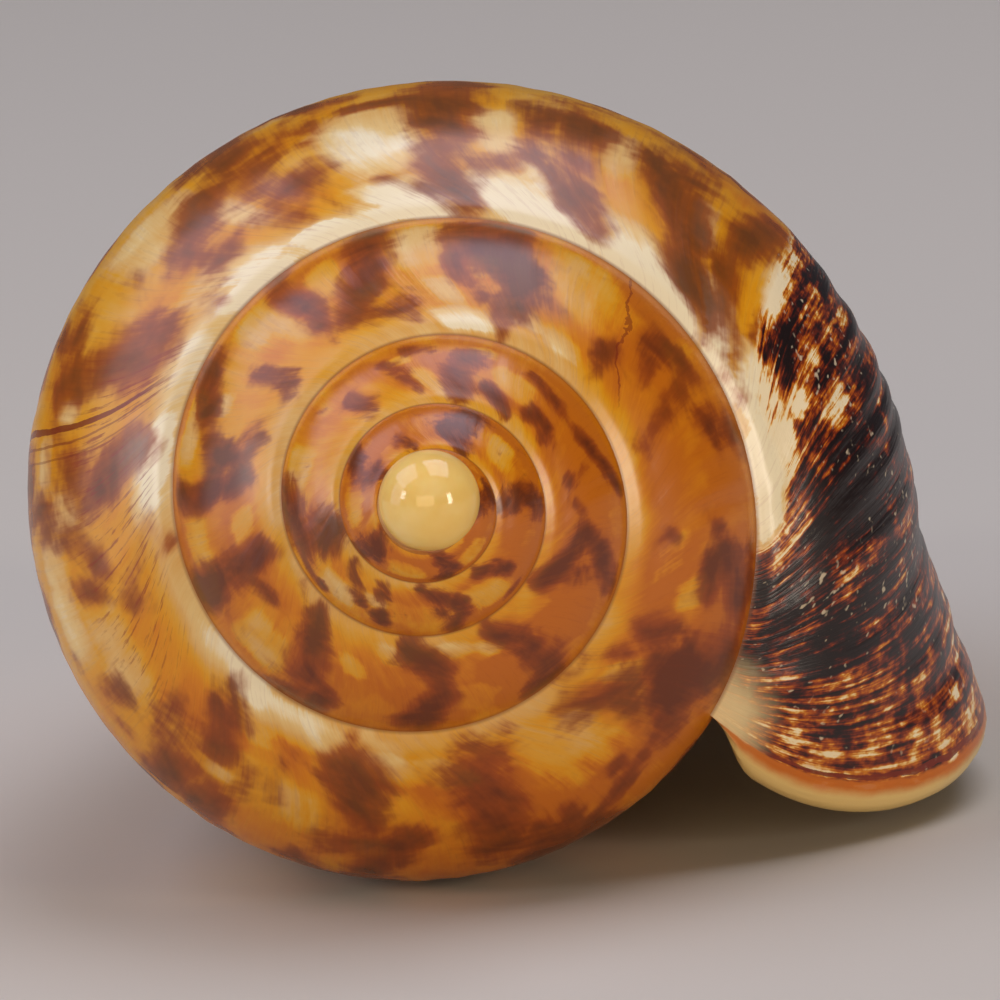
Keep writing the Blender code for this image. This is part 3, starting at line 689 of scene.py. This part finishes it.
# Glazed aragonite: the outer layers of the shell, laid down and polished by the mantle. The pigment lies
# under a clear glassy skin, so its colours look deep and lights are pale veils in it. The last growth is dry.
glaze = {
    "groundStops": [
        (0.0, "#BE6600"), (0.15, "#D07C00"), (0.3, "#DA9404"), (0.46, "#DA9E2C"), (0.64, "#DAA85A"),
        (0.84, "#E4C27E"), (1.0, "#F0E2BC"),
    ],
    "flameStops": [(0.15, "#B86402"), (0.45, "#9A4402"), (0.75, "#7A3202"), (1.0, "#561E04")],
    "gloomStops": [
        (0.0, "#EFDDB4"), (0.09, "#E6BC70"), (0.18, "#CC7C0E"), (0.29, "#AA4E02"), (0.43, "#702202"),
        (0.57, "#380C03"), (0.72, "#160502"),
    ],
    "striaColour": "#8C2E00",
    "markColour": "#741E00",
    # growth marks and a crack: moment at the suture, half width in turns, how strong, how far back it falls
    # in each place, and how far it wanders
    "marks": [
        (-0.5632, 0.0014, 0.85, 0.0045, 0.0), (-0.5705, 0.0006, 0.55, 0.004, 0.0),
        (-0.5775, 0.0005, 0.45, 0.0035, 0.0), (-1.212, 0.0012, 0.6, 0.0126, 0.03),
        (-0.0018, 0.0008, 0.9, 0.0, 0.0),
    ],
    # painted shade: a brown line in each suture's groove, on the later whorl's edge and on the covered
    # whorl's foot
    "sutureShadeColour": "#86480E",
    "fleckColour": "#D9C7A6",
    "callusColour": "#E6CC96",
    "rimColour": "#C86A0A",
    "edgeColour": "#E2C47C",
    # noise drawn out along the growth lines: offset, how often it repeats in a turn and in a place, detail,
    # roughness and distortion. On the last whorl a turn is about 150 mm long and a place 8 mm.
    "noises": {
        "fine": ((0.0, 0.0), (430.0, 1.3), 3.0, 0.6, 0.0),
        "broad": ((5.0, 2.0), (75.0, 1.2), 3.0, 0.6, 0.0),
        "cross": ((3.0, 1.0), (330.0, 9.0), 2.0, 0.6, 0.0),
        "flow": ((2.0, 4.0), (21.0, 1.5), 3.0, 0.6, 0.8),
        "flecks": ((7.0, 1.0), (300.0, 13.0), 1.0, 0.5, 0.0),
    },
    # where each mask starts (1) and is full (2), and how much it covers there (4)
    "patchEdge": {1: 0.94, 2: 1.34},
    "flameEdge": {1: 1.64, 2: 2.16, 4: 0.9},
    "striaEdge": {1: 0.52, 2: 0.62},
    "gloomEdge": {1: 0.44, 2: 0.6},
    "fleckEdge": {1: 0.92, 2: 1.06, 4: 0.7},
    "markPlaces": ({1: 0.22, 2: 0.5}, {1: 5.5, 2: 2.2}),
    "callusEdge": {1: 0.2, 2: 0.9, 4: 0.92},
    "rimEdge": {1: 0.0006, 2: 0.0018, 4: 0.92},
    "lipEdge": {1: 0.0028, 2: 0.0068, 4: 0.92},
    # where the painted suture shade lies: the later whorl's edge, and the foot of the covered whorl
    "sutureShadeEdges": ({1: 0.045, 2: 0.0, 4: 0.65}, {1: 1.88, 2: 2.02, 4: 0.65}),
    "ior": 1.53,
    "roughness": {3: 0.27, 4: 0.34},  # polished, and dry
    "lineHeight": 0.00006,  # metres
}


def makeGlaze():
    material, add, surface = newMaterial("glazedAragonite")
    scaledSum, product = {"operation": "MULTIPLY_ADD"}, {"operation": "MULTIPLY"}
    soft = {"interpolation_type": "SMOOTHSTEP"}
    flame, pale, patch, gloom, callus, striae = (
        add("Attribute", {"attribute_name": name}).outputs["Fac"]
        for name in ("flames", "pale", "patch", "gloom", "callus", "striae")
    )
    growthMap = add("UVMap", {"uv_map": "growth"})
    moment, place = add("SeparateXYZ", links={0: growthMap}).outputs[:2]
    spot = add("TexCoord").outputs["Object"]
    noises = []
    for offset, scale, detail, roughness, distortion in glaze["noises"].values():
        space = add("Mapping", {"Location": (*offset, 0.0), "Scale": (*scale, 1.0)}, {0: growthMap})
        settings = {"Scale": 1.0, "Detail": detail, "Roughness": roughness, "Distortion": distortion}
        noises.append(add("TexNoise", settings, {0: space}))
    fine, broad, cross, flow, flecks = noises
    # blots and clouds, 2.5 mm and 7 mm across
    blots = add("TexNoise", {"Scale": 400.0, "Detail": 4.0, "Roughness": 0.55}, {0: spot})
    clouds = add("TexNoise", {"Scale": 140.0, "Detail": 3.0, "Roughness": 0.5}, {0: spot})
    edgeSum = add("Mix", {0: 0.42}, {2: blots, 3: broad})
    edges = add("Mix", {0: 0.2}, {2: edgeSum, 3: fine})

    # the ground's paleness: painted level, cells that bend like the flames do, clouds and growth lines
    bendSpace = add("Mapping", {"Scale": (24.0, 1.9, 1.0)}, {0: growthMap})
    bending = scaledSum | {1: (0.55, 0.55, 0.0)}
    bend = add("VectorMath", bending, {0: blots.outputs[1], 2: bendSpace})
    cells = add("TexVoronoi", {"feature": "SMOOTH_F1", "Scale": 1.0, "Smoothness": 0.5}, {0: bend})
    cellTone = add("SeparateXYZ", links={0: cells.outputs[1]})
    level = pale
    for part, share in ((cellTone, 0.3), (clouds, 0.4), (broad, 0.36), (fine, 0.24)):
        level = add("Math", scaledSum | {1: share}, {0: part, 2: level})
    level = add("Math", {"operation": "SUBTRACT", 1: 0.77}, {0: level})

    # paler patches with ragged edges
    patchAt = add("Math", scaledSum | {1: 1.5}, {0: edges, 2: patch})
    patchMask = add("MapRange", soft | glaze["patchEdge"], {0: patchAt})
    patchShare = add("Math", product, {0: patchMask, 1: patch})
    paleness = add("Math", scaledSum | {1: 0.58}, {0: patchShare, 2: level})
    ground = add("ValToRGB", {"stops": glaze["groundStops"]}, {0: paleness})

    # flames: they spread and run together here and there, their edges wander with the blots and run out along
    # the growth lines, and they let the ground show through, least of all inside
    flowing = add("Math", scaledSum | {1: 1.5}, {0: flow, 2: flame})
    flameAt = add("Math", scaledSum | {1: 1.4}, {0: edges, 2: flowing})
    flameMask = add("MapRange", soft | glaze["flameEdge"], {0: flameAt})
    deepness = add("Math", scaledSum | {1: 0.9, 2: -1.95}, {0: clouds})
    deeper = add("Math", {"operation": "ADD"}, {0: deepness, 1: flameAt})
    flameColour = add("ValToRGB", {"stops": glaze["flameStops"]}, {0: deeper})
    layers = [(flameMask, flameColour)]

    # striae: thin dark red lines where growth was slow, strong where they are painted and faint elsewhere
    lineSum = add("Mix", {0: 0.35}, {2: fine, 3: broad})
    dashSum = add("Mix", {0: 0.27}, {2: fine, 3: cross})
    striaLine = add("MapRange", soft | glaze["striaEdge"], {0: dashSum})
    striaShare = add("Math", scaledSum | {1: 0.6, 2: 0.12}, {0: striae})
    striaMask = add("Math", product, {0: striaLine, 1: striaShare})
    layers.append((striaMask, "striaColour"))

    # gloom: the dark last growth is streaked along its growth lines, from cream through rust to black, and
    # broken up by the blots and by fine lines that run along the whorl
    darkness = gloom
    for part, share in ((lineSum, 2.7), (blots, 1.3), (cross, 0.8), (patchShare, -0.5)):
        darkness = add("Math", scaledSum | {1: share}, {0: part, 2: darkness})
    darkness = add("Math", {"operation": "SUBTRACT", 1: 2.44}, {0: darkness})
    gloomColour = add("ValToRGB", {"stops": glaze["gloomStops"]}, {0: darkness})
    gloomAt = add("Math", scaledSum | {1: 0.5}, {0: edges, 2: gloom})
    gloomMask = add("MapRange", soft | glaze["gloomEdge"], {0: gloomAt})
    layers.append((gloomMask, gloomColour))

    # flecks: in clusters in the dark growth, where its thin skin has worn off
    clustered = add("Math", scaledSum | {1: 0.5}, {0: clouds, 2: flecks})
    fleckAt = add("MapRange", soft | glaze["fleckEdge"], {0: clustered})
    fleckMask = add("Math", product, {0: fleckAt, 1: gloomMask})
    layers.append((fleckMask, "fleckColour"))

    # growth marks: a line at each moment when growth stopped, a little uneven, from below the band to past
    # the shoulder, and a crack beside one
    uneven = add("Math", scaledSum | {1: 0.003}, {0: blots, 2: moment})
    below, above = (add("MapRange", soft | ends, {0: place}) for ends in glaze["markPlaces"])
    drawn = add("Math", product, {0: below, 1: above})
    for at, halfWidth, strength, lean, wander in glaze["marks"]:
        leaning = add("Math", scaledSum | {1: lean}, {0: place, 2: uneven})
        wandering = add("Math", scaledSum | {1: wander}, {0: blots, 2: leaning})
        middle = at + 0.0015 + 0.5 * wander  # the blots are about a half
        mark = add("Math", {"operation": "COMPARE", 1: middle, 2: halfWidth}, {0: wandering})
        thinned = add("Math", product, {0: mark, 1: drawn})
        marked = add("Math", product | {1: strength}, {0: thinned})
        layers.append((marked, "markColour"))

    # the callus by the opening, the lip's orange and cream edge, and the brown painted shade in each suture's
    # groove
    covered = add("Math", {"operation": "LESS_THAN", 1: -1.001}, {0: moment})
    inside = add("Math", product, {0: covered, 1: place})
    ragged = add("Math", scaledSum | {1: 0.8, 2: -0.4}, {0: edges})
    callusAt = add("Math", {"operation": "ADD"}, {0: ragged, 1: callus})
    for colourName, mask, edge in (
        ("callusColour", callusAt, glaze["callusEdge"]),
        ("rimColour", uneven, glaze["rimEdge"]),
        ("edgeColour", uneven, glaze["lipEdge"]),
        ("sutureShadeColour", place, glaze["sutureShadeEdges"][0]),
        ("sutureShadeColour", inside, glaze["sutureShadeEdges"][1]),
    ):
        layers.append((add("MapRange", soft | edge, {0: mask}), colourName))

    # every layer lies over the ones before it
    colour = ground
    for mask, layer in layers:
        plain = isinstance(layer, str)
        settings = {"data_type": "RGBA"} | ({7: linearColour(glaze[layer])} if plain else {})
        links = {0: mask, 6: colour} | ({} if plain else {7: layer})
        colour = add("Mix", settings, links).outputs[2]

    # the dry growth is duller, and its growth lines stand out more
    dryness = add("Math", product, {0: gloomMask, 1: gloom})
    roughness = add("MapRange", glaze["roughness"], {0: dryness})
    relieved = add("Math", scaledSum | {1: 1.6, 2: 0.25}, {0: dryness})
    height = add("Math", product, {0: lineSum, 1: relieved})
    bump = add("Bump", {"Strength": 1.0, "Distance": glaze["lineHeight"]}, {"Height": height})
    links = {"Base Color": colour, "Roughness": roughness, "Normal": bump}
    setUp(surface, {"IOR": glaze["ior"]}, links)
    return material


# Enamel: the smooth inner layer of the shell, laid over and over by the mantle, so it has no growth lines. It
# is porcelain-like, glossy and a little wavy, apricot deep inside, and yellow-cream near the lip.
enamel = {
    "stops": [
        (0.0, "#D9A273"), (0.45, "#E3B587"), (0.8, "#EBCB9C"), (0.965, "#EACB94"), (0.99, "#E4BA6C"),
        (1.0, "#DDAA55"),
    ],
    "ior": 1.53,
    "roughness": 0.2,
    "waveHeight": 0.0002,  # metres
}


def makeEnamel():
    material, add, surface = newMaterial("enamelLining")
    growthMap = add("UVMap", {"uv_map": "growth"})
    grown = add("SeparateXYZ", links={0: growthMap})
    spot = add("TexCoord").outputs["Object"]
    # clouds 8 mm across and waves of 4 mm
    clouds = add("TexNoise", {"Scale": 120.0, "Detail": 3.0, "Roughness": 0.5}, {0: spot})
    waves = add("TexNoise", {"Scale": 260.0, "Detail": 2.0, "Roughness": 0.5}, {0: spot})
    fromLip = add("Math", {"operation": "ADD", 1: 1.0}, {0: grown})
    cloudy = add("Math", {"operation": "MULTIPLY_ADD", 1: 0.12, 2: -0.06}, {0: clouds})
    along = add("Math", {"operation": "ADD"}, {0: fromLip, 1: cloudy})
    colour = add("ValToRGB", {"stops": enamel["stops"]}, {0: along})
    bump = add("Bump", {"Strength": 0.25, "Distance": enamel["waveHeight"]}, {"Height": waves})
    settings = {"IOR": enamel["ior"], "Roughness": enamel["roughness"]}
    setUp(surface, settings, {"Base Color": colour, "Normal": bump})
    return material


# First whorl: the round bead that the animal hatched with, of clear glassy cream aragonite, worn smooth. It
# sits in a dull tan ledge where the second whorl laps against it.
bead = {
    "radius": 3.3,
    "segments": 96,
    "rings": 48,
    "ior": 1.53,
    "scatter": 0.15,
    "scatterReach": (0.002, 0.001, 0.0005),  # metres for red, green and blue
    # the balls that make it: material, centre, roughness, and colours from dark to light
    "balls": {
        "ledge": ("dullFirstWhorlLedge", (-0.34, 0.12, -4.7), 0.3, ("#9A5E28", "#C08A4C", "#DDB87E")),
        "bead": ("firstWhorlGlaze", (0.0, 0.55, -3.3), 0.1, ("#E6B254", "#EFC970", "#F6DC98")),
    },
}


def makeBeadGlaze(name, roughness, colours):
    material, add, surface = newMaterial(name)
    spot = add("TexCoord").outputs["Object"]
    # clouds 3 mm across
    clouds = add("TexNoise", {"Scale": 330.0, "Detail": 3.0, "Roughness": 0.5}, {0: spot})
    colour = add("ValToRGB", {"stops": list(zip((0.0, 0.5, 1.0), colours))}, {0: clouds})
    settings = {
        "IOR": bead["ior"],
        "Roughness": roughness,
        "Subsurface Weight": bead["scatter"],
        "Subsurface Radius": bead["scatterReach"],
    }
    setUp(surface, settings, {"Base Color": colour})
    return material


def addBall(name, centre, material):
    size = {"segments": bead["segments"], "ring_count": bead["rings"], "radius": bead["radius"]}
    bpy.ops.mesh.primitive_uv_sphere_add(location=centre, **size)
    ball = bpy.context.object
    ball.name = name
    bpy.ops.object.transform_apply(location=True, rotation=False, scale=False)
    ball.data.uv_layers[0].name = "growth"
    ball.data.materials.append(material)
    return ball


def uniteWith(shell, ball):
    only(shell)
    union = shell.modifiers.new("union", "BOOLEAN")
    union.operation = "UNION"
    union.solver = "EXACT"
    union.material_mode = "TRANSFER"
    union.object = ball
    bpy.ops.object.modifier_apply(modifier=union.name)
    bpy.data.objects.remove(ball)


def growShell(glazed, enamelled):
    places = rowPlaces()
    lastTurns, turns = columnTurns(-1.0, 0.0), columnTurns(hollow["endTurn"], 0.0)
    lastWhorl = outerFace(lastTurns[:, None], places)
    columella, columellaPlaces, liningFace, liningPlaces = hollowFaces(turns, places)
    lipRim, frontRim, frontTurns = rims(lastWhorl, liningFace, turns, places)
    spireTurns, spirePlaces = columnTurns(mesh["apexTurn"], -1.0), places[places < 2.0 + 1e-9]
    spire = outerFace(spireTurns[:, None], spirePlaces)
    # the glaze runs on over the lip's edge, and its time goes on with it
    rimTurns = np.linspace(0.0, mesh["rimTurns"], mesh["rimRows"] + 1)
    sheets = [
        laySheet("voluteShell", spire, spireTurns[:, None], spirePlaces, glazed, True),
        laySheet("lastWhorl", lastWhorl, lastTurns[:, None], places, glazed, True),
        laySheet("columella", columella, turns[:, None] - 0.25, columellaPlaces, enamelled, False),
        laySheet("lining", liningFace, turns[:, None], liningPlaces, enamelled, False),
        laySheet("lipRim", lipRim, rimTurns, places[:, None], glazed, True),
        laySheet("frontRim", frontRim, np.zeros(1), frontTurns[:, None], enamelled, False),
    ]
    shell = sheets[0]
    only(shell)
    for sheet in sheets:
        sheet.select_set(True)
    bpy.ops.object.join()
    bpy.ops.object.mode_set(mode="EDIT")
    bpy.ops.mesh.select_all(action="SELECT")
    bpy.ops.mesh.remove_doubles(threshold=mesh["weld"])
    bpy.ops.mesh.fill_holes(sides=0)
    bpy.ops.mesh.normals_make_consistent(inside=False)
    bpy.ops.mesh.select_all(action="DESELECT")
    bpy.ops.object.mode_set(mode="OBJECT")
    return shell


def roundTip(shell):
    # the flat end of the columella is drawn out and narrowed in steps, so that it is a rounded end of enamel
    ends = [face for face in shell.data.polygons if len(face.vertices) > 4]
    tip = min(ends, key=lambda face: face.center.z)
    tip.select = True
    before = len(shell.data.polygons)
    only(shell)
    bpy.ops.object.mode_set(mode="EDIT")
    bpy.ops.mesh.select_mode(type="FACE")
    for share, out in mesh["tipSteps"]:
        bpy.ops.mesh.extrude_region_move(TRANSFORM_OT_translate={"value": (0.0, 0.0, -out)})
        bpy.ops.transform.resize(value=(share, share, 1.0))
    bpy.ops.mesh.select_all(action="DESELECT")
    bpy.ops.object.mode_set(mode="OBJECT")
    # the steps' faces and the end itself are the last ones
    for face in shell.data.polygons[before - 1 :]:
        face.material_index = shell.data.materials.find("enamelLining")
        for corner in face.loop_indices:
            shell.data.uv_layers["growth"].uv[corner].vector = mesh["tipGrowth"]


shell = growShell(makeGlaze(), makeEnamel())
roundTip(shell)
print("shell grown:", len(shell.data.polygons), "faces")

for name, (materialName, centre, roughness, colours) in bead["balls"].items():
    uniteWith(shell, addBall(name, centre, makeBeadGlaze(materialName, roughness, colours)))
print("first whorl set in:", len(shell.data.polygons), "faces")

# how the shell lies: rolled about its axis, laid on its opening, then raised at the apex
rest = {"roll": 4.2, "raise": 11.4}
lying = (
    Matrix.Rotation(math.radians(-rest["raise"]), 4, "X")
    @ Matrix.Rotation(math.radians(90.0), 4, "X")
    @ Matrix.Rotation(math.radians(-rest["roll"]), 4, "Z")
)


def layDown(shell):
    # the lying shell's box is fitted to the frame's; the two differ by less than a third of a per cent
    shell.data.transform(lying @ Matrix.Scale(mm, 4))
    points = np.array([vertex.co for vertex in shell.data.vertices])
    low, high = (np.array(corner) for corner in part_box("shell"))
    size = (high - low) / (points.max(0) - points.min(0))
    print("fitted by", [round(float(x), 5) for x in size])
    fit = Matrix.Translation(Vector((low + high) / 2.0)) @ Matrix.Diagonal(Vector(size)).to_4x4()
    fit = fit @ Matrix.Translation(Vector(-(points.max(0) + points.min(0)) / 2.0))
    shell.data.transform(fit)
    return fit


fit = layDown(shell)
only(shell)
bpy.ops.object.shade_smooth_by_angle(angle=math.radians(mesh["smoothAngle"]))
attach(shell, "root")
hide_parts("shell")
print("shell laid down")


# Studio: a floor of pale matt paper, soft lights placed by the way they shine in the glaze, and the camera
studio = {
    "paper": "#CBC3B2",
    "paperRoughness": 0.9,
    "floorSize": 8.0,
    "world": "#C9CEDA",
    "worldStrength": 0.12,
    # direction from the shell in the coil's own axes, distance, width and height in metres, watts, colour
    "lights": {
        "overheadSoftbox": ((0.22, 0.96, 0.10), 0.80, 0.70, 0.55, 3.7, "#E6E8FF"),
        "cornerSoftbox": ((-0.66, 0.74, 0.12), 0.85, 0.70, 0.55, 2.8, "#E2E2FF"),
        "leftSoftbox": ((-0.97, 0.20, 0.16), 0.85, 0.45, 0.60, 1.3, "#E6E8FF"),
        "rightLamp": ((0.733, 0.05, 0.68), 0.9, 0.16, 0.40, 2.8, "#FFF1E0"),
        "leftLamp": ((-0.862, 0.18, 0.474), 0.9, 0.18, 0.24, 1.0, "#FFFFFF"),
        "frontFill": ((-0.15, -0.06, 0.98), 1.5, 1.10, 0.80, 7.8, "#FFE2B8"),
    },
    "view": (4.59, 0.57, -23.0),  # what the camera looks at, in the coil's millimetres
    "distance": 1.0,
    "lens": 545.0,
    "sensor": 36.0,
    "clip": (0.05, 20.0),
}


def addFloor():
    bpy.ops.mesh.primitive_plane_add(size=studio["floorSize"])
    floor = bpy.context.object
    floor.name = "paperFloor"
    material, _, surface = newMaterial("mattPaper")
    setUp(surface, {"Base Color": linearColour(studio["paper"]), "Roughness": studio["paperRoughness"]})
    floor.data.materials.append(material)


def addLights(centre):
    for name, (direction, distance, width, height, watts, colour) in studio["lights"].items():
        towards = (lying.to_3x3() @ Vector(direction)).normalized()
        bpy.ops.object.light_add(type="AREA", location=centre + towards * distance)
        light = bpy.context.object
        light.name = name
        light.data.shape = "RECTANGLE"
        light.data.size = width
        light.data.size_y = height
        light.data.energy = watts
        light.data.color = linearColour(colour)[:3]
        light.rotation_euler = towards.to_track_quat("Z", "Y").to_euler()
    world = bpy.data.worlds.new("studioAir")
    bpy.context.scene.world = world
    world.use_nodes = True
    air = world.node_tree.nodes["Background"]
    setUp(air, {"Color": linearColour(studio["world"]), "Strength": studio["worldStrength"]})


def addCamera(centre):
    towards = lying.to_3x3() @ Vector((0.0, 0.0, 1.0))
    bpy.ops.object.camera_add(location=centre + towards * studio["distance"])
    camera = bpy.context.object
    camera.rotation_euler = lying.to_3x3().to_euler()
    camera.data.lens = studio["lens"]
    camera.data.sensor_width = studio["sensor"]
    camera.data.clip_start, camera.data.clip_end = studio["clip"]
    bpy.context.scene.camera = camera


centre = fit @ lying @ (Vector(studio["view"]) * mm)
addFloor()
addLights(centre)
addCamera(centre)
bpy.context.scene.view_settings.view_transform = "Standard"
print("studio set up")
